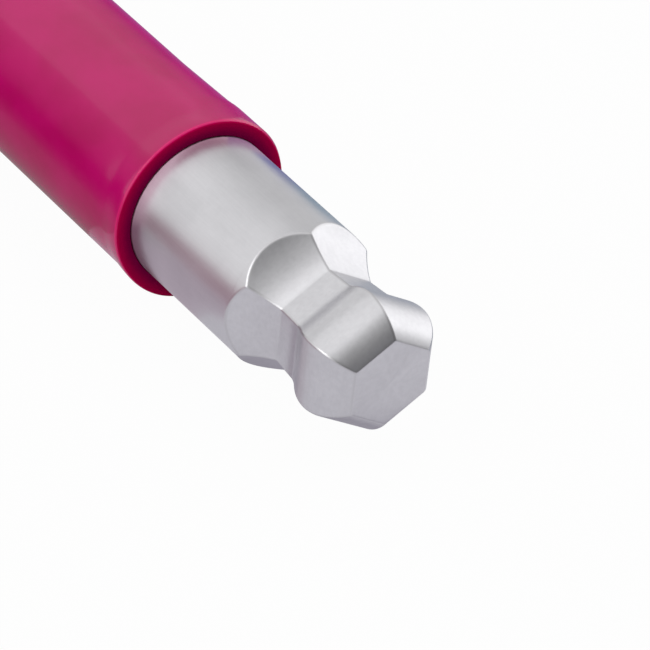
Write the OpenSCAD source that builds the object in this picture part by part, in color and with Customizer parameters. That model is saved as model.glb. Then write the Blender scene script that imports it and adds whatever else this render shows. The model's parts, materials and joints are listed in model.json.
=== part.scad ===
// Ball-end hexagon key: a round steel bar bent into an L, with a hexagon ball
// on the long arm, a plain hexagon on the short arm, and a coloured plastic
// sleeve shrunk onto the bar between the two working ends.
// Lengths are in millimetres. The key lies flat: long arm along +X towards the
// ball, short arm along +Y, and the two lips of the sleeve touch z = 0.

/* [Bar] */
// Diameter of the round steel bar
bar_d = 10; // [9.5:0.1:11]
// Long arm, from the outside of the bend to the ball's end face
long_arm = 208; // [120:1:260]
// Short arm, from the outside of the bend to the hexagon's end face
short_arm = 44; // [42:1:70]
// Radius of the bend at the middle of the bar
bend_r = 15; // [12:0.5:16]

/* [Working hexagon] */
// Width across flats, at the ball's widest place and along the plain hexagon
hex_af = 8; // [7.5:0.1:8.6]

/* [Ball end] */
// Radius of each rounded face of the ball, seen from the side
ball_r = 3.5; // [3.4:0.05:4]
// Width across flats of the ball's flat end face
tip_af = 5.15; // [4:0.05:6]
// Width across flats of the neck where it meets the ball
neck_af = 6.7; // [6.5:0.05:7.2]
// Width across flats of the neck where the run-out starts
neck_root_af = 6.4; // [6:0.05:6.6]
// Length of the neck's flats
neck_len = 2.1; // [1:0.1:4]
// Radius of the hollow run-out between the neck and the round bar
ball_runout_r = 10; // [8:0.5:30]
// Slope at which that run-out leaves the neck, in degrees
ball_runout_slope = 20.5; // [10:0.5:25]

/* [Plain hexagon end] */
// Length of the full hexagon
hex_len = 10; // [6:0.5:12]
// Radius of the hollow run-out between the hexagon and the round bar
hex_runout_r = 10; // [4:0.5:12]
// Slope at which that run-out leaves the hexagon, in degrees
hex_runout_slope = 12; // [5:1:30]
// Diameter of the circle that the end chamfer leaves on the end face
chamfer_d = 7.6; // [6:0.1:8]
// Angle between the chamfer and the end face, in degrees
chamfer_angle = 30; // [15:1:60]

/* [Sleeve] */
// Wall of the sleeve
sleeve_wall = 0.87; // [0.6:0.01:1.5]
// Clearance between the sleeve's bore and the bar, all round
sleeve_gap = 0.02; // [0.01:0.01:0.1]
// Bare round bar between the ball's run-out and the sleeve
bare_long = 10.4; // [2:0.1:20]
// Bare round bar between the plain hexagon's run-out and the sleeve
bare_short = 2.5; // [0.5:0.1:5]
// Height of the lip at each end of the sleeve above the rest of the sleeve
lip_rise = 0.15; // [0.05:0.01:0.3]
// Length over which the sleeve widens into a lip
lip_len = 2; // [0.8:0.1:3]
// Radius of the rounded outer edge of a lip
lip_round = 0.18; // [0.05:0.01:0.4]

/* [Hidden] */
$fn = 120;

bar_r = bar_d / 2;
bore_r = bar_r + sleeve_gap;
sleeve_r = bore_r + sleeve_wall;
lip_r = sleeve_r + lip_rise;

// The arms' middle lines cross at [0, 0, 0] until the key is set on its base.
tip_x = long_arm - bar_r;
end_y = short_arm - bar_r;
long_straight = tip_x - bend_r;
short_straight = end_y - bend_r;
base = [(lip_r - tip_x) / 2, (lip_r - end_y) / 2, lip_r];

// Side profile of one pair of flats: distance t from the end face, and half
// width. The ball's two arcs have their centres ball_core above and below the
// middle line.
ball_core = hex_af / 2 - ball_r;
ball_t = sqrt(pow(ball_r, 2) - pow(tip_af / 2 - ball_core, 2));
neck_t = ball_t + sqrt(pow(ball_r, 2) - pow(neck_af / 2 - ball_core, 2));
root_t = neck_t + neck_len;
function neck_half(t) = (neck_af + (neck_root_af - neck_af) * (t - neck_t) / neck_len) / 2;

// Where a run-out arc has its centre, and where it reaches the bar's surface.
function arc_centre(t, half_af, r, slope) = [t - r * sin(slope), half_af + r * cos(slope)];
function arc_end(centre, r) = centre[0] + sqrt(pow(r, 2) - pow(centre[1] - bar_r, 2));

ball_arc = arc_centre(root_t, neck_root_af / 2, ball_runout_r, ball_runout_slope);
hex_arc = arc_centre(hex_len, hex_af / 2, hex_runout_r, hex_runout_slope);
sleeve_long = long_straight - arc_end(ball_arc, ball_runout_r) - bare_long;
sleeve_short = short_straight - arc_end(hex_arc, hex_runout_r) - bare_short;

// How far a cutting shape runs past the arm that it cuts.
spare = bar_d;

steel = [0.76, 0.76, 0.78];
raspberry = [0.65, 0.01, 0.29];

// The bar behind a run-out, hollowed by one arc a side. It starts at the arcs' lowest
// point, inside the flats that the run-out rises from.
module runout_profile(centre, r, reach) {
    difference() {
        translate([centre[0], -bar_d]) square([reach - centre[0], 2 * bar_d]);
        for (side = [-1, 1]) translate([centre[0], side * centre[1]]) circle(r);
    }
}

// Side profile of the ball end: two arcs with a core between them, the tapered neck
// from inside the ball to inside the bar, and the run-out.
module ball_profile(reach) {
    for (side = [-1, 1]) translate([ball_t, side * ball_core]) circle(ball_r);
    translate([ball_t - ball_r, -ball_core]) square([2 * ball_r, 2 * ball_core]);
    polygon([
        [ball_t, -neck_half(ball_t)], [root_t + neck_len, -neck_half(root_t + neck_len)],
        [root_t + neck_len, neck_half(root_t + neck_len)], [ball_t, neck_half(ball_t)]
    ]);
    runout_profile(ball_arc, ball_runout_r, reach);
}

// Side profile of the plain hexagon end, with the hexagon running on into the bar.
module hex_profile(reach) {
    translate([-spare, -hex_af / 2]) square([reach + spare, hex_af]);
    runout_profile(hex_arc, hex_runout_r, reach);
}

// A straight arm along +X from its end face at x = 0, with three pairs of flats cut to
// the side profile given as a child, and one corner straight up. Each pair takes two
// turns of 60 degrees, forwards or back, so that all three carry the same rounding.
module faceted_arm(length) {
    intersection() {
        rotate([0, 90, 0]) cylinder(h = length, r = bar_r);
        intersection_for(turns = [[60, -60], [60, 60], [-60, -60]])
            rotate([turns[0], 0, 0])
                rotate([turns[1], 0, 0])
                    linear_extrude(height = 2 * bar_d, center = true) children();
    }
}

// A cone along +X that leaves the chamfer's circle on the end face, then a wide bar.
module chamfer_envelope(reach) {
    rise = tan(chamfer_angle);
    rotate([90, 0, 90])
        rotate_extrude()
            polygon([
                [0, -chamfer_d / 2 * rise], [bar_d, (bar_d - chamfer_d / 2) * rise],
                [bar_d, reach], [0, reach]
            ]);
}

// Carry an arm's end face to its place, with the arm pointing into the bend.
module at_long_end() translate([tip_x, 0, 0]) rotate([0, 0, 180]) children();
module at_short_end() translate([0, end_y, 0]) rotate([0, 0, -90]) children();

// Carry the start of a stretch of sleeve to an end of the bend, pointing outwards.
module from_long_bend() translate([bend_r, 0, 0]) children();
module from_short_bend() translate([0, bend_r, 0]) rotate([0, 0, 90]) children();

// A quarter ring with the section given as a child, joining the two arms.
module bend() {
    translate([bend_r, bend_r, 0])
        rotate([0, 0, 180])
            rotate_extrude(angle = 90)
                translate([bend_r, 0]) children();
}

// A straight stretch of sleeve along +X from x = 0, widening into a lip at its end.
module lipped_tube(length) {
    edge_r = lip_r - lip_round;
    rotate([90, 0, 90])
        rotate_extrude() {
            polygon([
                [bore_r, 0], [sleeve_r, 0], [sleeve_r, length - lip_len],
                [lip_r, length - lip_round], [edge_r, length - lip_round],
                [edge_r, length], [bore_r, length]
            ]);
            translate([edge_r, length - lip_round]) circle(lip_round);
        }
}

// The steel key, one piece from the ball round the bend to the plain hexagon.
module hex_key() {
    color(steel)
        translate(base) {
            at_long_end() faceted_arm(long_straight) ball_profile(long_straight + spare);
            bend() circle(bar_r);
            at_short_end()
                intersection() {
                    faceted_arm(short_straight) hex_profile(short_straight + spare);
                    chamfer_envelope(short_straight + spare);
                }
        }
}

// The plastic sleeve, one tube with a lip at each end.
module grip_sleeve() {
    color(raspberry)
        translate(base) {
            from_long_bend() lipped_tube(sleeve_long);
            bend() difference() {
                circle(sleeve_r);
                circle(bore_r);
            }
            from_short_bend() lipped_tube(sleeve_short);
        }
}

hex_key();
grip_sleeve();
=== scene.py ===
"""Ball-end hexagon key: dressed meshes, finishes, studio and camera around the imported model."""

import json
import logging
import math
from dataclasses import dataclass, field
from enum import Enum
from typing import Any

import bmesh
import bpy
import numpy as np
from mathutils import Matrix, Vector


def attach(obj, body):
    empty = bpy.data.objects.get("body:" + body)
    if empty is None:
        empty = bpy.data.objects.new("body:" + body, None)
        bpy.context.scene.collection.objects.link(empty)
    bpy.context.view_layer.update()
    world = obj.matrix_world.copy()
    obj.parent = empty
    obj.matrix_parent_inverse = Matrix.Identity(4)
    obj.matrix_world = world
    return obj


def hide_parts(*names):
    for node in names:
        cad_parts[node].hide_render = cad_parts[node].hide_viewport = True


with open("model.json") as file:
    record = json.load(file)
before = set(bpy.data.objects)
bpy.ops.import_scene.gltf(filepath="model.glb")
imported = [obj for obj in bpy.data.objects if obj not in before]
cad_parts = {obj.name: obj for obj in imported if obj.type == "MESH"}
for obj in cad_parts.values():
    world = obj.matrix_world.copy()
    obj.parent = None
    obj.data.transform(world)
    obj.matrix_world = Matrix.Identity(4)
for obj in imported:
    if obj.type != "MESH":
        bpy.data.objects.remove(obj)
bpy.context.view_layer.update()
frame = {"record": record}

log = logging.getLogger("hex_key")

Array = np.ndarray
Pair = tuple[float, float]
Triple = tuple[float, float, float]
Colour = Triple
Stops = list[tuple[float, Colour]]
Faces = list[tuple[int, ...]]

MM = 0.001
FLATS = 6
SIXTH = math.pi / 3
TWELFTH = math.pi / 6
BEND_ROWS = 49
# Points closer than this become one
WELD = 0.0002 * MM
# Where most noise values lie, their middle, and the octaves of soft and of fine noise
NOISE_SPAN = (0.3, 0.7)
NOISE_MIDDLE = 0.5
SOFT_OCTAVES = 2.0
FINE_OCTAVES = 3.0


class Slot(Enum):
    """Material slots that the record names."""

    STEEL = "steel"
    SLEEVE = "sleeve"


class Layer(Enum):
    """Values that a mesh carries at its vertices for its finish."""

    UNBENT = "unbent_place"
    # On the steel this marks worn edges, and on the sleeve where the lip edges carry a painted highlight
    EDGE = "edge_wear"
    MILLED = "milled_flat"
    TRIM = "trimmed_rim"


# Shader nodes written as expressions

class Wire:
    """A shader value: one output socket, with arithmetic that adds Math nodes."""

    def __init__(self, board: "NodeBoard", socket: bpy.types.NodeSocket) -> None:
        """Keep the board and the socket."""
        self.board = board
        self.socket = socket

    def sibling(self, name: str) -> "Wire":
        """Another output of the same node."""
        return Wire(self.board, self.socket.node.outputs[name])

    def maths(self, operation: str, first: Any, second: Any) -> "Wire":
        """A Math node over two values."""
        return self.board.add("ShaderNodeMath", {"operation": operation}, {0: first, 1: second})

    def __add__(self, other: Any) -> "Wire":
        """This value plus another."""
        return self.maths("ADD", self, other)

    def __radd__(self, other: Any) -> "Wire":
        """Another value plus this one."""
        return self.maths("ADD", other, self)

    def __sub__(self, other: Any) -> "Wire":
        """This value less another."""
        return self.maths("SUBTRACT", self, other)

    def __rsub__(self, other: Any) -> "Wire":
        """Another value less this one."""
        return self.maths("SUBTRACT", other, self)

    def __mul__(self, other: Any) -> "Wire":
        """This value times another."""
        return self.maths("MULTIPLY", self, other)

    def __rmul__(self, other: Any) -> "Wire":
        """Another value times this one."""
        return self.maths("MULTIPLY", other, self)

    def ramp(self, low: float, high: float, start: float = 0.0, end: float = 1.0) -> "Wire":
        """Map low..high to start..end with eased ends.

        Args:
            low: value that maps to start.
            high: value that maps to end.
            start: result at and below low.
            end: result at and above high.

        Returns:
            The mapped value.
        """
        sockets = {"Value": self, "From Min": low, "From Max": high, "To Min": start, "To Max": end}
        return self.board.add("ShaderNodeMapRange", {"interpolation_type": "SMOOTHSTEP"}, sockets)


class NodeBoard:
    """A node tree with one method that adds any node to it."""

    def __init__(self, tree: bpy.types.NodeTree) -> None:
        """Empty the tree and keep it."""
        tree.nodes.clear()
        self.tree = tree

    def add(
        self,
        kind: str,
        settings: dict[str, Any] | None = None,
        sockets: dict[Any, Any] | None = None,
        output: int | str = 0,
    ) -> Wire | None:
        """Add a node, set it up, and fill its input sockets.

        Args:
            kind: the node's type.
            settings: its properties; "stops" gives a colour ramp's positions and colours.
            sockets: values or wires by input name or index.
            output: the output to return.

        Returns:
            A wire on that output, or None where the node has no outputs.
        """
        node = self.tree.nodes.new(kind)
        for name, value in (settings or {}).items():
            if name == "stops":
                self.set_stops(node.color_ramp, value)
            else:
                setattr(node, name, value)
        for key, value in (sockets or {}).items():
            if isinstance(value, Wire):
                self.tree.links.new(value.socket, node.inputs[key])
            else:
                node.inputs[key].default_value = value
        return Wire(self, node.outputs[output]) if len(node.outputs) else None

    @staticmethod
    def set_stops(ramp: bpy.types.ColorRamp, stops: Stops) -> None:
        """Give a colour ramp its stops.

        Args:
            ramp: the ramp to fill.
            stops: position and colour of each stop, from left to right.
        """
        while len(ramp.elements) < len(stops):
            ramp.elements.new(1.0)
        for element, (position, colour) in zip(ramp.elements, stops):
            element.position = position
            element.color = (*colour, 1.0)

    def blend(self, factor: Any, first: Any, second: Any) -> Wire:
        """Mix two colours.

        Args:
            factor: share of the second colour.
            first: a colour or a wire.
            second: a colour or a wire.

        Returns:
            The mixed colour.
        """
        first = first if isinstance(first, Wire) else (*first, 1.0)
        second = second if isinstance(second, Wire) else (*second, 1.0)
        return self.add("ShaderNodeMix", {"data_type": "RGBA"}, {0: factor, 6: first, 7: second}, 2)

    def layer(self, layer: Layer, output: str = "Fac") -> Wire:
        """A value that the mesh carries."""
        return self.add("ShaderNodeAttribute", {"attribute_name": layer.value}, output=output)

    def scaled_place(self, scale: Triple) -> Wire:
        """Place on the bar as if it were straight, times a scale in each direction."""
        place = self.layer(Layer.UNBENT, "Vector")
        return self.add("ShaderNodeVectorMath", {"operation": "MULTIPLY"}, {0: place, 1: scale})

    def grain(self, scale: Triple, detail: float) -> Wire:
        """Noise laid along the bar as if it were straight.

        Args:
            scale: features per metre along the bar and in its two cross directions.
            detail: octaves of finer noise.

        Returns:
            Noise from 0 to 1.
        """
        place = self.scaled_place(scale)
        return self.add("ShaderNodeTexNoise", {}, {"Vector": place, "Scale": 1.0, "Detail": detail})

    def bump(self, height: Wire, depth: float) -> Wire:
        """Relief from a height of 0 to 1, with its depth in metres."""
        return self.add("ShaderNodeBump", {}, {"Strength": 1.0, "Distance": depth, "Height": height})


# Finishes

@dataclass(frozen=True)
class SatinSteel:
    """Finely ground stainless bar with milled flats and burnished edges.

    Tones are shares of the way from dull to bright. Scales are features per metre, along the bar first.
    """

    bright: Colour = (0.65, 0.645, 0.665)
    dull: Colour = (0.55, 0.545, 0.565)
    burnished: Colour = (0.55, 0.545, 0.56)
    base_tone: float = 0.225
    line_tone: float = 0.2
    cloud_tone: float = 0.35
    fleck_tone: float = 0.1
    milled_fleck_tone: float = 0.2
    bar_roughness: float = 0.34
    flat_roughness: float = 0.33
    edge_roughness: float = 0.3
    line_roughness: float = 0.06
    cloud_roughness: float = 0.05
    ground_scale: Triple = (500.0, 9000.0, 9000.0)
    cut_scale: Triple = (7000.0, 2600.0, 2600.0)
    cloud_scale: Triple = (350.0, 350.0, 350.0)
    fleck_scale: Triple = (3000.0, 3000.0, 3000.0)
    grain_height: float = 0.00025 * MM

    def material(self) -> bpy.types.Material:
        """Build the finish.

        Returns:
            The material.
        """
        made = bpy.data.materials.new("satin_steel")
        made.use_nodes = True
        board = NodeBoard(made.node_tree)
        milled = board.layer(Layer.MILLED)
        edge = board.layer(Layer.EDGE)
        ground = board.grain(self.ground_scale, FINE_OCTAVES)
        cut = board.grain(self.cut_scale, FINE_OCTAVES)
        clouds = board.grain(self.cloud_scale, SOFT_OCTAVES)
        flecks = board.grain(self.fleck_scale, SOFT_OCTAVES)
        line = ground * (1 - milled) + cut * milled
        lines = line.ramp(*NOISE_SPAN) * self.line_tone
        tone = lines + clouds.ramp(*NOISE_SPAN) * self.cloud_tone + self.base_tone
        fleck_depth = milled * self.milled_fleck_tone + self.fleck_tone
        tone = tone + (flecks.ramp(*NOISE_SPAN) - NOISE_MIDDLE) * fleck_depth
        colour = board.blend(tone, self.dull, self.bright)
        colour = board.blend(edge, colour, self.burnished)
        plain = milled * (self.flat_roughness - self.bar_roughness) + self.bar_roughness
        worked = plain + (line - NOISE_MIDDLE) * self.line_roughness
        worked = worked + (clouds - NOISE_MIDDLE) * self.cloud_roughness
        roughness = worked * (1 - edge) + edge * self.edge_roughness
        bump = board.bump(line, self.grain_height)
        sockets = {"Base Color": colour, "Metallic": 1.0, "Roughness": roughness, "Normal": bump}
        shader = board.add("ShaderNodeBsdfPrincipled", {}, sockets)
        board.add("ShaderNodeOutputMaterial", {}, {"Surface": shader})
        return made


@dataclass(frozen=True)
class RaspberryPlastic:
    """Smooth shrink-on plastic with a soft gloss, matt where its lips are cut; painted shade and highlights
    on the lips.
    """

    deep: Colour = (0.41, 0.0006, 0.095)
    fresh: Colour = (0.47, 0.0008, 0.12)
    # Painted highlight along the lips' rounded edges
    edge_highlight: Colour = (0.68, 0.001, 0.14)
    # Painted shade on the cut face: the shaded colour at the bore, the unshaded one at the outer edge, over
    # this span of radius
    cut_shaded: Colour = (0.23, 0.0003, 0.056)
    cut_unshaded: Colour = (0.56, 0.0003, 0.07)
    cut_shade_span: Pair = (5.05 * MM, 6.05 * MM)
    cut_mottle: float = 0.15
    roughness: float = 0.14
    skin_roughness: float = 0.06
    cloud_roughness: float = 0.04
    edge_roughness: float = 0.05
    cut_roughness: float = 0.6
    cut_skin_roughness: float = 0.1
    refraction: float = 1.45
    cloud_scale: Triple = (220.0, 300.0, 300.0)
    skin_scale: Triple = (1600.0, 2200.0, 2200.0)
    skin_height: float = 0.0045 * MM

    def material(self) -> bpy.types.Material:
        """Build the finish.

        Returns:
            The material.
        """
        made = bpy.data.materials.new("raspberry_plastic")
        made.use_nodes = True
        board = NodeBoard(made.node_tree)
        edge = board.layer(Layer.EDGE)
        clouds = board.grain(self.cloud_scale, FINE_OCTAVES)
        skin = board.grain(self.skin_scale, SOFT_OCTAVES)
        uneven = skin - NOISE_MIDDLE
        bump = board.bump(skin, self.skin_height)
        colour = board.blend(clouds.ramp(*NOISE_SPAN), self.deep, self.fresh)
        # Painted highlight where the lip edge rounds over
        colour = board.blend(edge, colour, self.edge_highlight)
        worked = uneven * self.skin_roughness + (clouds - NOISE_MIDDLE) * self.cloud_roughness
        roughness = worked + edge * self.edge_roughness + self.roughness
        sockets = {"Base Color": colour, "Roughness": roughness, "Normal": bump, "IOR": self.refraction}
        moulded = board.add("ShaderNodeBsdfPrincipled", {}, sockets)
        # Painted shade: the cut face darkens towards the bore
        across = board.scaled_place((0.0, 1.0, 1.0))
        outward = board.add("ShaderNodeVectorMath", {"operation": "LENGTH"}, {0: across}, "Value")
        shade = outward.ramp(*self.cut_shade_span) + uneven * self.cut_mottle
        colour = board.blend(shade, self.cut_shaded, self.cut_unshaded)
        roughness = uneven * self.cut_skin_roughness + self.cut_roughness
        sockets = {"Base Color": colour, "Roughness": roughness, "Normal": bump}
        sockets["Specular IOR Level"] = 0.0
        trimmed = board.add("ShaderNodeBsdfPrincipled", {}, sockets)
        both = {0: board.layer(Layer.TRIM), 1: moulded, 2: trimmed}
        shader = board.add("ShaderNodeMixShader", {}, both)
        board.add("ShaderNodeOutputMaterial", {}, {"Surface": shader})
        return made


# Shapes along the bent bar

@dataclass(frozen=True)
class BarPath:
    """Middle line of the bar: long arm from the ball, quarter bend, short arm."""

    ball: Vector
    end: Vector
    bend_r: float = 15.0 * MM

    @property
    def long_straight(self) -> float:
        """Length of the long arm's straight stretch."""
        return self.ball.x - self.end.x - self.bend_r

    @property
    def short_straight(self) -> float:
        """Length of the short arm's straight stretch."""
        return self.end.y - self.ball.y - self.bend_r

    @property
    def bend_length(self) -> float:
        """Length of the middle line round the bend."""
        return self.bend_r * math.pi / 2

    @property
    def length(self) -> float:
        """Length of the whole middle line."""
        return self.long_straight + self.bend_length + self.short_straight

    def carry(self, along: Array, radius: Array, around: Array) -> Array:
        """Place rings of points round the middle line.

        Args:
            along: distance of each ring from the ball's end face.
            radius: distance of each point from the middle line, rings by columns.
            around: angle of each point from straight up towards the outside of the bend.

        Returns:
            Points as rings by columns by three.
        """
        past_long = np.clip(along - self.long_straight, 0.0, self.bend_length)
        past_bend = np.clip(along - self.long_straight - self.bend_length, 0.0, None)
        turn = past_long / self.bend_r
        outward = np.stack([-np.sin(turn), -np.cos(turn)], axis=1)
        bend_middle = np.array([self.end.x + self.bend_r, self.ball.y + self.bend_r])
        middle = bend_middle + self.bend_r * outward
        middle[:, 0] += np.clip(self.long_straight - along, 0.0, None)
        middle[:, 1] += past_bend
        sideways = (radius * np.sin(around))[:, :, None] * outward[:, None, :]
        height = self.ball.z + radius * np.cos(around)
        return np.concatenate([middle[:, None, :] + sideways, height[:, :, None]], axis=2)

    @staticmethod
    def unbent(along: Array, radius: Array, around: Array) -> Array:
        """Where the same points would lie on a straight bar.

        Args:
            along: distance of each ring from the ball's end face.
            radius: distance of each point from the middle line, rings by columns.
            around: angle of each point, rings by columns.

        Returns:
            Points as rows of three.
        """
        back = np.broadcast_to(along[:, None], radius.shape)
        places = np.stack([back, radius * np.cos(around), radius * np.sin(around)], axis=2)
        return places.reshape(-1, 3)


@dataclass
class Outline:
    """A side profile: distance along the bar and distance from its middle line."""

    points: Array

    def softened(self, width: float, step: float) -> "Outline":
        """Round the profile's corners with a moving average.

        Args:
            width: length of profile that is averaged.
            step: spacing of the result's points.

        Returns:
            The softened profile.
        """
        run = self.run()
        even = np.linspace(0.0, run[-1], int(run[-1] / step) + 2)
        dense = np.stack([np.interp(even, run, self.points[:, axis]) for axis in (0, 1)], axis=1)
        half = max(1, int(width / step / 2))
        padded = np.pad(dense, ((half, half), (0, 0)), mode="reflect", reflect_type="odd")
        window = np.ones(2 * half + 1) / (2 * half + 1)
        smooth = [np.convolve(padded[:, axis], window, mode="valid") for axis in (0, 1)]
        return Outline(np.stack(smooth, axis=1))

    def run(self) -> Array:
        """Length of profile up to each point."""
        steps = np.linalg.norm(np.diff(self.points, axis=0), axis=1)
        return np.concatenate([[0.0], np.cumsum(steps)])

    def bending(self) -> Array:
        """Turn per length at each point, positive where the profile is convex."""
        heading = np.unwrap(np.arctan2(*np.gradient(self.points, axis=0).T[::-1]))
        return -np.gradient(heading, self.run())

    def thinned(self, longest: float, turn: float, extra: Array) -> tuple[Array, Array]:
        """Choose rows by length, by turn and by extra density.

        Args:
            longest: greatest spacing of rows.
            turn: greatest turn between rows.
            extra: further rows per length at each point.

        Returns:
            The chosen points, and the bending at each.
        """
        run = self.run()
        bending = self.bending()
        density = 1.0 / longest + np.abs(bending) / turn + extra
        mean = (density[1:] + density[:-1]) / 2
        tally = np.concatenate([[0.0], np.cumsum(mean * np.diff(run))])
        chosen = np.interp(np.linspace(0.0, tally[-1], int(tally[-1]) + 2), tally, run)
        columns = [np.interp(chosen, run, self.points[:, axis]) for axis in (0, 1)]
        return np.stack(columns, axis=1), np.interp(chosen, run, bending)


def arc(centre: Pair, radius: float, start: float, end: float, count: int = 160) -> Array:
    """Points on an arc in a side profile.

    Args:
        centre: middle of the arc.
        radius: its radius.
        start: first angle from the bar's direction.
        end: last angle.
        count: number of points.

    Returns:
        Points as rows of two.
    """
    angle = np.linspace(start, end, count)
    return np.stack([centre[0] + radius * np.cos(angle), centre[1] + radius * np.sin(angle)], axis=1)


def new_piece(name: str, points: Array, faces: Faces, layers: dict[Layer, Array]) -> bpy.types.Object:
    """Make a smooth mesh object that carries values for its finish.

    Args:
        name: the piece's name.
        points: vertices as rows of three.
        faces: corners of each face.
        layers: values at the vertices.

    Returns:
        The object, linked to the scene.
    """
    mesh = bpy.data.meshes.new(name)
    mesh.from_pydata(points.tolist(), [], faces)
    for layer, values in layers.items():
        flat = values.ndim == 1
        held = mesh.attributes.new(layer.value, "FLOAT" if flat else "FLOAT_VECTOR", "POINT")
        held.data.foreach_set("value" if flat else "vector", values.astype(np.float32).ravel())
    shell = bmesh.new()
    shell.from_mesh(mesh)
    bmesh.ops.remove_doubles(shell, verts=shell.verts[:], dist=WELD)
    shell.to_mesh(mesh)
    shell.free()
    mesh.polygons.foreach_set("use_smooth", [True] * len(mesh.polygons))
    mesh.update()
    piece = bpy.data.objects.new(name, mesh)
    bpy.context.collection.objects.link(piece)
    return piece


def ring_faces(rings: int, columns: int, closed: bool) -> Faces:
    """Quads between neighbouring rings.

    Args:
        rings: number of rings.
        columns: points in each ring.
        closed: whether the last ring joins the first.

    Returns:
        Corners of each quad, facing away from the middle line.
    """
    faces = []
    for ring in range(rings if closed else rings - 1):
        here = ring * columns
        there = (ring + 1) % rings * columns
        for column in range(columns):
            beside = (column + 1) % columns
            faces.append((here + column, there + column, there + beside, here + beside))
    return faces


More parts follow.
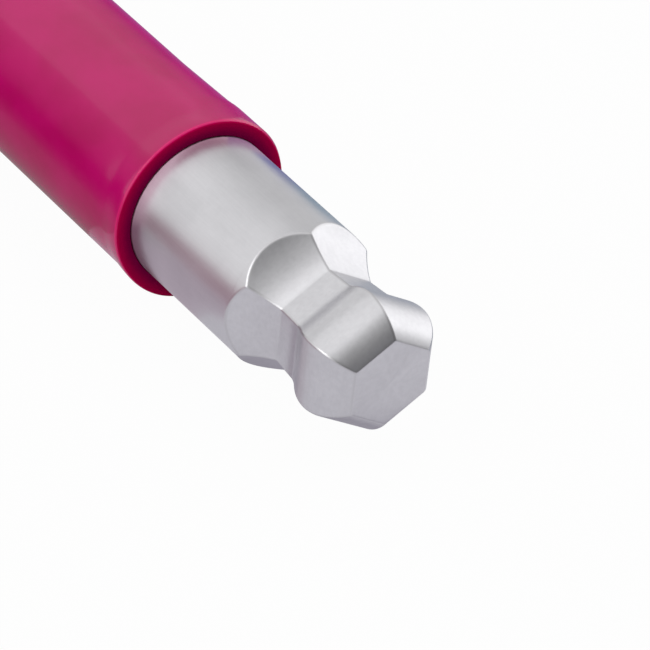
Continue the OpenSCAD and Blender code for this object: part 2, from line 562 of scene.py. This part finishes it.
@dataclass
class HexKey:
    """The steel key: hexagon ball, neck, run-outs, round bar and plain hexagon.

    Rows of points lie closest, fade_gap apart, where a flat is wider than fade_from of the bar's radius.
    A row counts as a worn edge where its profile turns by more than wear_from radians per millimetre,
    and fully so wear_span above that.
    """

    path: BarPath
    bar_r: float = 5.0 * MM
    hex_half: float = 4.0 * MM
    ball_r: float = 3.5 * MM
    tip_half: float = 2.575 * MM
    neck_half: float = 3.35 * MM
    root_half: float = 3.2 * MM
    neck_len: float = 2.1 * MM
    runout_r: float = 10.0 * MM
    ball_slope: float = math.radians(20.5)
    hex_len: float = 10.0 * MM
    hex_slope: float = math.radians(12.0)
    chamfer_r: float = 3.8 * MM
    chamfer_rise: float = math.tan(math.radians(60.0))
    corner_round: float = 0.2 * MM
    edge_blend: float = 0.11 * MM
    crease_width: float = 0.18 * MM
    valley_width: float = 0.72 * MM
    overshoot: float = 0.45 * MM
    face_inner: float = 0.45
    face_skin: float = 0.02 * MM
    profile_step: float = 0.008 * MM
    row_gap: float = 0.6 * MM
    row_turn: float = math.radians(3.5)
    fade_from: float = 0.862
    fade_gap: float = 0.02 * MM
    wear_from: float = 0.8
    wear_span: float = 2.5
    cut_margin: float = 0.5 * MM
    bend_margin: float = 1.0 * MM
    long_rows: int = 40
    short_rows: int = 8
    half_columns: int = 16
    flat_share: float = 0.3
    edge_share: float = 0.5
    edge_room: float = 1.3
    corner_room: float = 1.2
    least_lean: float = 0.02
    widest_spread: float = math.radians(9.0)
    finish: SatinSteel = field(default_factory=SatinSteel)

    @property
    def chamfer_reach(self) -> float:
        """How far back the chamfer runs out to the bar's radius."""
        return (self.bar_r - self.chamfer_r) / self.chamfer_rise

    def runout(self, foot_t: float, foot_half: float, slope: float) -> Array:
        """Arc from the foot of a run-out to just past the bar's surface.

        Args:
            foot_t: distance of the foot from the end face.
            foot_half: half width at the foot.
            slope: slope at the foot.

        Returns:
            Profile points.
        """
        centre = (foot_t - self.runout_r * math.sin(slope), foot_half + self.runout_r * math.cos(slope))
        last = math.acos((centre[1] - self.bar_r - self.overshoot) / self.runout_r)
        return arc(centre, self.runout_r, slope - math.pi / 2, last - math.pi / 2)

    def ball_outline(self) -> tuple[Outline, float]:
        """Side profile of the ball end, from inside its end face to the round bar.

        Returns:
            The profile, and where the ball meets the neck.
        """
        core = self.hex_half - self.ball_r
        middle = math.sqrt(self.ball_r**2 - (self.tip_half - core) ** 2)
        reach = math.sqrt(self.ball_r**2 - (self.neck_half - core) ** 2)
        front = math.acos(-middle / self.ball_r)
        back = math.acos(reach / self.ball_r)
        face = np.array([[0.0, self.tip_half * self.face_inner]])
        ball = arc((middle, core), self.ball_r, front, back)
        rise = self.runout(middle + reach + self.neck_len, self.root_half, self.ball_slope)
        return Outline(np.concatenate([face, ball, rise])), middle + reach

    def chamfer_outline(self) -> Outline:
        """Side profile of the plain end's face and chamfer, out to the bar's radius."""
        inner = self.chamfer_r * self.face_inner
        return Outline(np.array([[0.0, inner], [0.0, self.chamfer_r], [self.chamfer_reach, self.bar_r]]))

    def flat_outline(self) -> Outline:
        """Side profile of the plain hexagon behind its chamfer, up to the round bar."""
        rise = self.runout(self.hex_len, self.hex_half, self.hex_slope)
        return Outline(np.concatenate([[[self.chamfer_reach, self.hex_half]], rise]))

    def cut_rows(self, outline: Outline, valley: float | None = None) -> tuple[Array, Array]:
        """Rows of a profile, closest where a flat fades into the round bar.

        Args:
            outline: the sharp profile.
            valley: where a softer hollow than the other creases lies.

        Returns:
            Points of the rows, and how far each is a worn edge.
        """
        soft = outline.softened(self.crease_width, self.profile_step)
        if valley is not None:
            broad = outline.softened(self.valley_width, self.profile_step).points
            share = np.exp(-(((soft.points[:, 0] - valley) / self.valley_width) ** 4))[:, None]
            soft = Outline(soft.points + (broad - soft.points) * share)
        half = soft.points[:, 1]
        fading = (half > self.bar_r * self.fade_from) & (half < self.bar_r + self.edge_blend)
        points, bending = soft.thinned(self.row_gap, self.row_turn, fading / self.fade_gap)
        worn = np.clip((bending * MM - self.wear_from) / self.wear_span, 0.0, 1.0)
        return points, worn * (points[:, 0] > self.face_skin)

    def rows(self) -> tuple[Array, Array, Array, Array]:
        """All rows of the key from the ball to the plain end.

        Returns:
            Distance along the bar, half width of the flats, radius of the round, and edge wear.
        """
        ball, ball_wear = self.cut_rows(*self.ball_outline())
        face, face_wear = self.cut_rows(self.chamfer_outline())
        flat, flat_wear = self.cut_rows(self.flat_outline())
        whole = self.path.length
        bend_start = self.path.long_straight
        straight = np.linspace(ball[-1, 0] + self.cut_margin, bend_start, self.long_rows)
        bend = bend_start + np.linspace(0.0, self.path.bend_length, BEND_ROWS)[1:]
        flat_start = whole - flat[-1, 0] - self.cut_margin
        last = np.linspace(bend[-1] + self.bend_margin, flat_start, self.short_rows)
        bar = np.concatenate([straight, bend, last])
        along = [ball[:, 0], bar, whole - flat[::-1, 0], whole - face[::-1, 0]]
        uncut = np.full(len(bar), 2 * self.bar_r)
        flats = [ball[:, 1], uncut, flat[::-1, 1], np.full(len(face), self.hex_half)]
        round_ = [np.full(len(part), self.bar_r) for part in along[:3]] + [face[::-1, 1]]
        wear = [ball_wear, np.zeros(len(bar)), flat_wear[::-1], face_wear[::-1]]
        return tuple(np.concatenate(part) for part in (along, flats, round_, wear))

    def columns(self, flats: Array, round_: Array) -> Array:
        """Angles of each row's points, gathered where a flat meets a corner or the round.

        Args:
            flats: half width of the flats in each row.
            round_: radius of the round in each row.

        Returns:
            Angle from the middle of each flat, rows by columns of half a flat.
        """
        meeting = np.minimum(np.arccos(np.clip(flats / round_, 0.0, 1.0)), TWELFTH)
        lean = flats * np.maximum(np.sin(meeting), self.least_lean) / np.cos(meeting) ** 2
        corner = TWELFTH - np.arctan((flats - self.corner_round) * math.tan(TWELFTH) / flats)
        room = self.edge_room * self.edge_blend / lean
        spread = np.clip(room, self.corner_room * corner, self.widest_spread)
        near = np.maximum(meeting - spread, 0.0)[:, None]
        far = np.minimum(meeting + spread, TWELFTH)[:, None]
        share = np.linspace(0.0, 1.0, self.half_columns + 1)[None, :]
        edge_end = self.flat_share + self.edge_share
        inner = near * share / self.flat_share
        middle = near + (far - near) * (share - self.flat_share) / self.edge_share
        outer = far + (TWELFTH - far) * (share - edge_end) / (1.0 - edge_end)
        return np.where(share <= self.flat_share, inner, np.where(share <= edge_end, middle, outer))

    def section(self, flats: Array, round_: Array, lean: Array) -> tuple[Array, Array, Array]:
        """Radius of a row's points where rounded flats meet the round bar.

        Args:
            flats: half width of the flats in each row.
            round_: radius of the round in each row.
            lean: angle of each point from the middle of its flat.

        Returns:
            Radius, share of milled flat, and edge wear of each point.
        """
        flats = flats[:, None]
        round_ = round_[:, None]
        lean = np.abs(lean)
        core = (flats - self.corner_round) / math.cos(TWELFTH)
        inside = np.maximum(self.corner_round**2 - (core * np.sin(TWELFTH - lean)) ** 2, 0.0)
        rounded = lean > np.arctan((flats - self.corner_round) * math.tan(TWELFTH) / flats)
        corner = core * np.cos(TWELFTH - lean) + np.sqrt(inside)
        hexagon = np.where(rounded, corner, flats / np.cos(lean))
        share = np.clip(0.5 + 0.5 * (round_ - hexagon) / self.edge_blend, 0.0, 1.0)
        overlap = share * (1 - share)
        radius = round_ + (hexagon - round_) * share - self.edge_blend * overlap
        return radius, share, np.clip(np.maximum(4 * overlap, rounded * share), 0.0, 1.0)

    def build(self) -> bpy.types.Object:
        """Make the key's mesh.

        Returns:
            The piece.
        """
        along, flats, round_, row_wear = self.rows()
        half = self.columns(flats, round_)
        sector = np.concatenate([-half[:, :0:-1], half[:, :-1]], axis=1)
        lean = np.tile(sector, (1, FLATS))
        flat_middle = np.repeat(np.arange(FLATS) * SIXTH + TWELFTH, sector.shape[1])
        radius, milled, wear = self.section(flats, round_, lean)
        around = flat_middle[None, :] + lean
        points = self.path.carry(along, radius, around)
        rings, columns = radius.shape
        faces = ring_faces(rings, columns, False)
        faces.append(tuple(range(columns)))
        faces.append(tuple(range(rings * columns - 1, (rings - 1) * columns - 1, -1)))
        inside = np.minimum(along, self.path.length - along)[:, None] > self.face_skin
        layers = {
            Layer.UNBENT: self.path.unbent(along, radius, around),
            Layer.EDGE: (np.maximum(wear, row_wear[:, None]) * inside).ravel(),
            Layer.MILLED: milled.ravel(),
        }
        return new_piece("steel_key", points.reshape(-1, 3), faces, layers)

    def dress(self) -> bpy.types.Object:
        """Build the key, give it its finish and fasten it to the frame.

        Returns:
            The piece.
        """
        piece = self.build()
        piece.data.materials.append(self.finish.material())
        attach(piece, "root")
        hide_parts("hex_key")
        return piece


@dataclass
class GripSleeve:
    """The plastic sleeve: one tube round the bend, with a rolled lip at each end.

    Turns round the bar count from straight up, towards the outside of the bend.
    """

    path: BarPath
    bore_r: float = 5.02 * MM
    body_r: float = 5.89 * MM
    lip_r: float = 6.04 * MM
    lip_len: float = 2.0 * MM
    lip_round: float = 0.18 * MM
    long_rim: float = 20.386 * MM
    short_rim: float = 15.205 * MM
    bore_round: float = 0.04 * MM
    cut_depth: float = 0.04 * MM
    rim_skew: float = 0.5 * MM
    skew_turn: float = math.radians(155.0)
    skew_power: int = 4
    skew_fade: float = 6.0 * MM
    swell_r: float = 6.1 * MM
    swell_start: float = 23.4 * MM
    swell_step: float = 24.3 * MM
    swell_end: float = 29.3 * MM
    swell_shares: Triple = (1.0, 0.58, 0.0)
    swell_turn: float = math.radians(-48.0)
    swell_power: int = 5
    row_gap: float = 0.2 * MM
    row_turn: float = math.radians(7.0)
    # Turn per millimetre at which the lip edge's painted highlight is full
    full_highlight_bend: float = 4.0
    lip_margin: float = 0.3 * MM
    bend_margin: float = 1.0 * MM
    short_margin: float = 1.5 * MM
    bore_margin: float = 2.0 * MM
    near_rows: int = 34
    far_rows: int = 40
    rim_points: int = 16
    edge_points: int = 24
    fall_points: int = 40
    columns: int = 160
    finish: RaspberryPlastic = field(default_factory=RaspberryPlastic)

    def lip_outline(self) -> Outline:
        """Half profile of a lip.

        Returns:
            The profile from the bore's edge, over the rim, to the plain body.
        """
        inner = (self.bore_round, self.bore_r + self.bore_round)
        corner = (self.lip_round, self.lip_r - self.lip_round)
        rim = arc(inner, self.bore_round, 1.5 * math.pi, math.pi, self.rim_points)
        edge = arc(corner, self.lip_round, math.pi, math.pi / 2, self.edge_points)
        fall = np.linspace(0.0, 1.0, self.fall_points)[1:]
        eased = fall * fall * (3 - 2 * fall)
        back = self.lip_round + fall * (self.lip_len - self.lip_round)
        out = self.lip_r + eased * (self.body_r - self.lip_r)
        return Outline(np.concatenate([rim, edge, np.stack([back, out], axis=1)]))

    def swell(self, along: Array, around: Array) -> Array:
        """Where the tube stays wide behind its lip, on the side that shrank less.

        Args:
            along: distance of each ring from the ball's end face.
            around: angle of each point, rings by columns.

        Returns:
            Share of the swollen width that each point takes.
        """
        places = [self.swell_start, self.swell_step, self.swell_end]
        near = np.interp(along, places, self.swell_shares)[:, None]
        return near * np.clip(np.cos(around - self.swell_turn), 0.0, 1.0) ** self.swell_power

    def skew(self, along: Array, around: Array) -> Array:
        """How far the lip by the ball reaches forward underneath, where the tube isn't trimmed square.

        Args:
            along: distance of each ring from the ball's end face.
            around: angle of each point, rings by columns.

        Returns:
            Shift of each point towards the ball.
        """
        near = np.clip(1.0 - (along - self.long_rim) / self.skew_fade, 0.0, 1.0)[:, None]
        return self.rim_skew * near * np.clip(np.cos(around - self.skew_turn), 0.0, 1.0) ** self.skew_power

    def rows(self) -> tuple[Array, Array, Array, Array]:
        """All rings of the sleeve, over its outside from lip to lip and back through its bore.

        Returns:
            Distance along the bar, radius, share of the painted edge highlight, and 1 where a ring is on a
            cut face.
        """
        outline = self.lip_outline()
        lip, bending = outline.thinned(self.row_gap, self.row_turn, np.zeros(len(outline.points)))
        # Share of the painted edge highlight, from how sharply the lip's profile turns
        wear = np.clip(bending * MM / self.full_highlight_bend, 0.0, 1.0)
        cut = ((lip[:, 0] < self.cut_depth) | (lip[:, 1] < self.bore_r + self.bore_round)).astype(float)
        start, end = self.long_rim, self.path.length - self.short_rim
        bend_start = self.path.long_straight
        bend_end = bend_start + self.path.bend_length
        bend = np.linspace(bend_start, bend_end, BEND_ROWS)
        lip_end = start + self.lip_len + self.lip_margin
        near_lip = np.linspace(lip_end, self.swell_end + self.lip_margin, self.near_rows)
        near_end = near_lip[-1] + self.bend_margin
        straight = np.linspace(near_end, bend_start - self.bend_margin, self.far_rows)
        body = np.concatenate([near_lip, straight, bend, [bend_end + self.short_margin]])
        bore = np.concatenate([[end - self.bore_margin], bend[::-1], [start + self.bore_margin]])
        along = np.concatenate([start + lip[:, 0], body, end - lip[::-1, 0], bore])
        outside, inside = np.zeros(len(body)), np.zeros(len(bore))
        radius = np.concatenate([lip[:, 1], outside + self.body_r, lip[::-1, 1], inside + self.bore_r])
        worn = np.concatenate([wear, outside, wear[::-1], inside])
        trimmed = np.concatenate([cut, outside, cut[::-1], inside])
        return along, radius, worn, trimmed

    def build(self) -> bpy.types.Object:
        """Make the sleeve's mesh.

        Returns:
            The piece.
        """
        along, radius, worn, trimmed = self.rows()
        turns = np.linspace(0.0, 2 * math.pi, self.columns, endpoint=False)
        around = np.repeat(turns[None, :], len(along), axis=0)
        ring = np.repeat(radius[:, None], self.columns, axis=1)
        outside = (ring >= self.body_r) & (along > self.long_rim + self.lip_round)[:, None]
        ring = ring + self.swell(along, around) * (self.swell_r - ring) * outside
        points = self.path.carry(along, ring, around)
        points[:, :, 0] += self.skew(along, around)
        layers = {
            Layer.UNBENT: self.path.unbent(along, ring, around),
            # Painted highlight along the lip edges
            Layer.EDGE: np.repeat(worn, self.columns),
            Layer.TRIM: np.repeat(trimmed, self.columns),
        }
        faces = ring_faces(len(along), self.columns, True)
        return new_piece("plastic_sleeve", points.reshape(-1, 3), faces, layers)

    def dress(self) -> bpy.types.Object:
        """Build the sleeve, give it its finish and fasten it to the frame.

        Returns:
            The piece.
        """
        piece = self.build()
        piece.data.materials.append(self.finish.material())
        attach(piece, "root")
        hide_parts("grip_sleeve")
        return piece


# Studio and camera

def greys(*steps: Pair) -> Stops:
    """Stops of plain grey, from pairs of place and shade."""
    return [(place, (shade,) * 3) for place, shade in steps]


@dataclass(frozen=True)
class Panel:
    """A soft light far away: its direction, its core and rim in degrees, and what it adds."""

    heading: Triple
    core: float
    rim: float
    strength: float


@dataclass(frozen=True)
class Card:
    """A sheet near the key that only shows in reflections, graded by height up to top.

    All is in millimetres, and a corner is back from the ball's end face, across the long arm, and up.
    """

    name: str
    corners: list[Triple]
    stops: Stops
    top: float = 25.0

    @classmethod
    def strip(cls, name: str, ends: Pair, first: Pair, last: Pair, stops: Stops) -> "Card":
        """A card between two edges that run along the bar.

        Args:
            name: the card's name.
            ends: how far back its two ends are.
            first: where its first edge is, across and up.
            last: where its last edge is, across and up.
            stops: its colours by height.

        Returns:
            The card.
        """
        back, ahead = ends
        return cls(name, [(back, *first), (ahead, *first), (ahead, *last), (back, *last)], stops)


@dataclass
class Studio:
    """White floor, a soft dome that is dark ahead of the ball, panels, a lamp above and low cards.

    Where the cards and the lip are is in millimetres, and other lengths are in metres.
    """

    floor_half: float = 1.5
    floor_albedo: float = 0.55
    floor_tint: Colour = (0.99, 0.97, 1.06)
    seen_white: float = 0.97
    glossy_white: float = 0.5
    lamp_watts: float = 1.74
    lamp_size: float = 0.6
    lamp_place: Triple = (0.2, 0.32, 0.8)
    far_span: Pair = (-0.3, 0.8)
    far_strength: float = 0.72
    cards_end: float = 235.0
    lip_front: float = 20.34
    lip_edges: Pair = (5.95, 5.03)
    panels: tuple[Panel, ...] = (
        Panel((-0.03, 0.965, 0.25), 13.0, 36.0, 0.82),
        Panel((-0.1, -0.75, 0.65), 10.0, 18.0, 1.4),
        Panel((-0.62, -0.2, 0.76), 8.0, 40.0, 0.04),
        Panel((0.08, -0.94, 0.28), 8.0, 23.0, 0.85),
    )

    def world(self) -> None:
        """Light the scene with a soft dome: bright above, dimmer on the far side, dark ahead of the ball."""
        world = bpy.data.worlds.new("studio_dome")
        world.use_nodes = True
        bpy.context.scene.world = world
        board = NodeBoard(world.node_tree)
        heading = board.add("ShaderNodeTexCoord", output="Generated")
        ahead = board.add("ShaderNodeSeparateXYZ", {}, {0: heading}, "X")
        far_side = ahead.sibling("Y")
        bright = greys((0.0, 1.0), (0.44, 1.05), (0.5, 1.2), (0.55, 1.28))
        dim = greys((0.605, 0.8), (0.715, 0.48), (0.825, 0.3))
        dark = [(0.925, (0.22, 0.22, 0.23)), (1.0, (0.2, 0.2, 0.21))]
        dome = board.add("ShaderNodeValToRGB", {"stops": bright + dim + dark}, {0: ahead * 0.5 + 0.5})
        strength = far_side.ramp(*self.far_span, 1.0, self.far_strength)
        for panel in self.panels:
            sockets = {0: heading, 1: tuple(Vector(panel.heading).normalized())}
            towards = board.add("ShaderNodeVectorMath", {"operation": "DOT_PRODUCT"}, sockets, "Value")
            rim, core = (math.cos(math.radians(angle)) for angle in (panel.rim, panel.core))
            strength = strength + towards.ramp(rim, core, 0.0, panel.strength)
        light = board.add("ShaderNodeBackground", {}, {"Color": dome, "Strength": strength})
        white = board.add("ShaderNodeBackground", {}, {"Color": (1.0, 1.0, 1.0, 1.0), "Strength": 1.0})
        camera = board.add("ShaderNodeLightPath", output="Is Camera Ray")
        surface = board.add("ShaderNodeMixShader", {}, {0: camera, 1: light, 2: white})
        board.add("ShaderNodeOutputWorld", {}, {"Surface": surface})

    def floor(self) -> None:
        """Lay the white floor, which keeps a faint shadow of the key."""
        made = bpy.data.materials.new("white_floor")
        made.use_nodes = True
        board = NodeBoard(made.node_tree)
        camera = board.add("ShaderNodeLightPath", output="Is Camera Ray")
        mirrored = camera.sibling("Is Glossy Ray") + camera.sibling("Is Transmission Ray")
        share = camera * self.seen_white + mirrored * self.glossy_white
        matt = board.add("ShaderNodeBsdfDiffuse", {}, {"Color": (self.floor_albedo,) * 3 + (1.0,)})
        tint = board.blend(camera, self.floor_tint, (1.0, 1.0, 1.0))
        glow = board.add("ShaderNodeEmission", {}, {"Color": tint, "Strength": 1.0})
        surface = board.add("ShaderNodeMixShader", {}, {0: share, 1: matt, 2: glow})
        board.add("ShaderNodeOutputMaterial", {}, {"Surface": surface})
        half = self.floor_half
        corners = [(-half, -half, 0.0), (half, -half, 0.0), (half, half, 0.0), (-half, half, 0.0)]
        self.sheet("floor", corners, made)

    def lamp(self) -> None:
        """Hang a softbox above the key that lights matt surfaces and isn't mirrored in the steel."""
        light = bpy.data.lights.new("overhead_softbox", "AREA")
        light.energy = self.lamp_watts
        light.size = self.lamp_size
        lamp = bpy.data.objects.new("overhead_softbox", light)
        lamp.location = self.lamp_place
        lamp.visible_glossy = False
        bpy.context.collection.objects.link(lamp)

    def stand(self, card: Card, ball: Vector) -> None:
        """Stand a card beside the key.

        Args:
            card: the card to make.
            ball: middle of the ball's end face.
        """
        made = bpy.data.materials.new(card.name)
        made.use_nodes = True
        board = NodeBoard(made.node_tree)
        place = board.add("ShaderNodeNewGeometry", output="Position")
        height = board.add("ShaderNodeSeparateXYZ", {}, {0: place}, "Z")
        stops = [(level / card.top, colour) for level, colour in card.stops]
        stops = stops if len(stops) > 1 else stops + [(1.0, stops[0][1])]
        tone = board.add("ShaderNodeValToRGB", {"stops": stops}, {0: height * (1 / MM / card.top)})
        glow = board.add("ShaderNodeEmission", {}, {"Color": tone, "Strength": 1.0})
        board.add("ShaderNodeOutputMaterial", {}, {"Surface": glow})
        corners = [(ball.x - back * MM, ball.y + across * MM, up * MM) for back, across, up in card.corners]
        sheet = self.sheet(card.name, corners, made)
        sheet.visible_camera = False
        sheet.visible_diffuse = False
        sheet.visible_transmission = False
        sheet.visible_shadow = False

    @staticmethod
    def sheet(name: str, corners: list[Triple], made: bpy.types.Material) -> bpy.types.Object:
        """Make a flat sheet that isn't part of the object.

        Args:
            name: the sheet's name.
            corners: its corners in order.
            made: its material.

        Returns:
            The object.
        """
        mesh = bpy.data.meshes.new(name)
        mesh.from_pydata(corners, [], [tuple(range(len(corners)))])
        mesh.materials.append(made)
        sheet = bpy.data.objects.new(name, mesh)
        bpy.context.collection.objects.link(sheet)
        return sheet

    def lip_band(self, first: float, last: float, count: int) -> list[Triple]:
        """Corners of a card just ahead of the lip's cut face, which follows its skew and paints the lip's
        reflection in the steel.

        Args:
            first: where it starts round the bar, in degrees from straight up.
            last: where it ends.
            count: number of corners along each edge.

        Returns:
            Corners out along one edge and back along the other.
        """
        turns = np.radians(np.linspace(first, last, count))
        both = np.concatenate([turns, turns[::-1]])
        radius = np.repeat(self.lip_edges, count)
        skew = np.clip(np.cos(both - GripSleeve.skew_turn), 0.0, 1.0) ** GripSleeve.skew_power
        back = self.lip_front - GripSleeve.rim_skew / MM * skew
        up = GripSleeve.lip_r / MM + radius * np.cos(both)
        return np.stack([back, -radius * np.sin(both), up], axis=1).tolist()

    def cards(self) -> list[Card]:
        """Cards round the long arm, seen only in reflections: painted shade beside and below it, a warm
        painted shade, a cool side, and small painted reflections and highlights.

        Returns:
            The cards.
        """
        end = self.cards_end
        # Painted reflection: pink on the steel just ahead of the lip, as if its lit cut face were mirrored
        # there, darker low down
        glow = [(2, (0.14, 0.07, 0.1)), (6, (0.24, 0.11, 0.17)), (8.6, (0.8, 0.52, 0.63)),
                (10.6, (0.8, 0.52, 0.63)), (11.3, (0.46, 0.21, 0.3)), (12, (0.4, 0.17, 0.26))]
        front = greys((0, 0.3), (2.15, 0.14), (5.2, 0.0), (8, 0.0),
                      (10.8, 0.2), (14, 0.33), (18, 0.44), (25, 0.7))
        back = [(0, (0.4, 0.28, 0.48)), (5.3, (0.36, 0.11, 0.36)), (9.6, (0.38, 0.08, 0.32)),
                (11.6, (0.36, 0.17, 0.34)), (14.9, (0.4, 0.35, 0.41)), *greys((19, 0.5), (25, 0.8))]
        cool = [(0, (0.26, 0.34, 0.4)), (4.2, (0.16, 0.27, 0.35)),
                (8.8, (0.2, 0.32, 0.46)), (10.4, (0.46, 0.54, 0.6))]
        dusk = [(0, (0.12, 0.1, 0.37)), (4.2, (0.05, 0.04, 0.32)),
                (8.8, (0.1, 0.1, 0.43)), (10.4, (0.36, 0.35, 0.6))]
        return [
            # Painted reflections beside the lip, bright pink on the near side and dim mauve on the far side
            Card("lip_painted_reflection", self.lip_band(-18, 160, 50), glow),
            Card("lip_dim_reflection", self.lip_band(-80, -18, 20), [(0, (0.42, 0.2, 0.36))]),
            # Painted shade in the ball's and neck's reflections, from dark cards beside the neck and waist
            Card.strip("neck_shade", (6.75, 4.9), (-4.1, 2.5), (-4.1, 7.2), [(0, (0.31, 0.25, 0.31))]),
            Card("waist_shade", [(6.6, -6.3, 0.3), (6.6, -4.1, 0.3), (6.6, -4.1, 6.3), (6.6, -6.3, 6.3)],
                 [(0, (0.6, 0.55, 0.6))]),
            Card("front_card", [(end, -14, 0.2), (28.4, -14, 0.2), (35.4, -14, 25), (end, -14, 25)], front),
            Card("back_card", [(end, 14, 0.2), (30.4, 14, 0.2), (33.4, 14, 25), (end, 14, 25)], back),
            Card.strip("front_shade", (end, 27.4), (-14, 0.2), (-2, 0.2), greys((0, 0.3))),
            # Painted shade: the floor beside the sleeve as the steel mirrors it, shaded and tinted pink by
            # light off the sleeve
            Card.strip("warm_card", (70, 12), (-50, 6.5), (-19, 0.2), [(0, (0.38, 0.2, 0.26))]),
            Card.strip("bar_shade", (27.4, 16.4), (-19, 0.15), (-1.5, 0.15), [(0, (0.56, 0.48, 0.55))]),
            # Painted highlight on the run-out's root from a bright card, and painted shade over the crest
            # from a grey one
            Card.strip("root_glow", (6.95, 6.3), (-5, 9.85), (-0.8, 12.25), greys((0, 1.5))),
            Card.strip("crest_shade", (6.5, 3.9), (-5, 9.16), (-0.3, 11.87), greys((0, 0.9))),
            Card.strip("cool_card", (25.6, 20.3), (14, 0.2), (14, 10.4), cool),
            Card.strip("dusk_card", (30.4, 25.6), (14, 0.2), (14, 10.4), dusk),
            Card.strip("cool_floor", (end, -4), (15, 0.2), (80, 0.2), [(0, (0.37, 0.41, 0.49))]),
            Card("lip_shade", [(20.4, -1.4, 0.15), (12.5, -1.4, 0.15), (5.5, 14, 0.15), (20.4, 14, 0.15)],
                 greys((0, 0.08))),
            Card.strip("ball_shade", (12.5, 0.5), (-4, 0.1), (3, 0.1), [(0, (0.42, 0.4, 0.46))]),
            Card.strip("ahead_shade", (-1, -3.4), (-1, 0.1), (5, 0.1), [(0, (0.46, 0.44, 0.5))]),
        ]

    def build(self, path: BarPath) -> None:
        """Set up the dome, the floor, the lamp and the cards beside the long arm.

        Args:
            path: the key's middle line.
        """
        self.world()
        self.floor()
        self.lamp()
        for card in self.cards():
            self.stand(card, path.ball)


@dataclass
class PhotoCamera:
    """Camera at the photograph's viewing angle, aimed by one known point."""

    aim: Vector
    aim_pixel: Pair = (390.5, 383.0)
    image: float = 650.0
    focal_pixels: float = 5156.0
    depth: float = 0.3
    sensor: float = 36.0
    nearest: float = 0.01
    yaw: float = math.radians(49.47)
    roll: float = math.radians(42.64)
    pitch: float = math.radians(48.21)

    def axes(self) -> tuple[Vector, Vector, Vector]:
        """Directions of the image's right, its down, and the view.

        Returns:
            Three unit vectors.
        """
        sin_y, cos_y = math.sin(self.yaw), math.cos(self.yaw)
        sin_r, cos_r = math.sin(self.roll), math.cos(self.roll)
        sin_p, cos_p = math.sin(self.pitch), math.cos(self.pitch)
        right = (
            sin_y * cos_r,
            sin_r * sin_p + cos_y * cos_r * cos_p,
            sin_r * cos_p - cos_y * cos_r * sin_p,
        )
        down = (
            sin_y * sin_r,
            -cos_r * sin_p + cos_y * sin_r * cos_p,
            -cos_r * cos_p - cos_y * sin_r * sin_p,
        )
        view = (-cos_y, sin_y * cos_p, -sin_y * sin_p)
        return Vector(right), Vector(down), Vector(view)

    def build(self) -> bpy.types.Object:
        """Place the camera and make it the scene's own.

        Returns:
            The camera object.
        """
        right, down, view = self.axes()
        across, below = (pixel - self.image / 2 for pixel in self.aim_pixel)
        scale = self.depth / self.focal_pixels
        eye = self.aim - self.depth * view - across * scale * right - below * scale * down
        lens = bpy.data.cameras.new("photo_camera")
        lens.sensor_width = self.sensor
        lens.lens = self.focal_pixels * self.sensor / self.image
        lens.clip_start = self.nearest
        camera = bpy.data.objects.new("photo_camera", lens)
        turn = Matrix((right, -down, -view)).transposed().to_4x4()
        camera.matrix_world = Matrix.Translation(eye) @ turn
        bpy.context.collection.objects.link(camera)
        bpy.context.scene.camera = camera
        return camera


def mount_place(name: str) -> Vector:
    """Where the record puts a mount."""
    return next(Vector(mount["pos_m"]) for mount in frame["record"]["mounts"] if mount["name"] == name)


def main() -> None:
    """Build the key, the sleeve, the studio and the camera, and log each piece's vertex count."""
    logging.basicConfig(level=logging.INFO, format="%(name)s: %(message)s")
    bpy.context.scene.view_settings.view_transform = "Standard"
    path = BarPath(mount_place("ball_end"), mount_place("hex_end"))
    for part in (HexKey(path), GripSleeve(path)):
        piece = part.dress()
        log.info("%s: %d vertices", piece.name, len(piece.data.vertices))
    Studio().build(path)
    PhotoCamera(path.ball).build()


if __name__ == "__main__":
    main()
